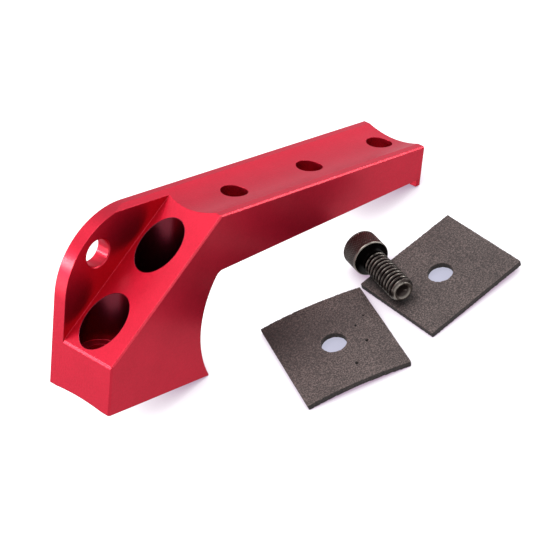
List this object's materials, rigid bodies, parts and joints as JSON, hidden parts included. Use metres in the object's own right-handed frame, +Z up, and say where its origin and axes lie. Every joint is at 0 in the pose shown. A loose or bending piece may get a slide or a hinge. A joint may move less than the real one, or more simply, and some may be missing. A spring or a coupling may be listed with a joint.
{
  "type": "telescope piggyback mounting bracket",
  "caption": "Red anodised aluminium bracket with a raised side fin and a long overhanging bar, with two punched rubber pads and a socket head cap screw.",
  "frame": {"origin": "on the table, in the middle of the outline of all four pieces", "axes": "+Z up from the table, +X along the bracket from its foot to the end of its bar, +Y from the pads towards the bracket"},
  "size_m": [0.1142, 0.063, 0.0458],
  "materials": {
    "red_anodised": "bead-blasted and red anodised, satin",
    "black_rubber": "matt sheet rubber with a fine pebbled face",
    "black_oxide_steel": "black oxide, lightly oiled"
  },
  "bodies": {
    "bracket": {"bracket": "red_anodised"},
    "left_pad": {"left_rubber_pad": "black_rubber"},
    "right_pad": {"right_rubber_pad": "black_rubber"},
    "screw": {"cap_screw": "black_oxide_steel"}
  },
  "joints": [
    {"name": "left_pad_lift", "type": "slide", "parent": "bracket", "child": "left_pad", "axis": [0, 0, 1], "range_m": [0, 0.06]},
    {"name": "right_pad_lift", "type": "slide", "parent": "bracket", "child": "right_pad", "axis": [0, 0, 1], "range_m": [0, 0.06]},
    {"name": "screw_lift", "type": "slide", "parent": "right_pad", "child": "screw", "axis": [0, 0, 1], "range_m": [0, 0.05]}
  ]
}
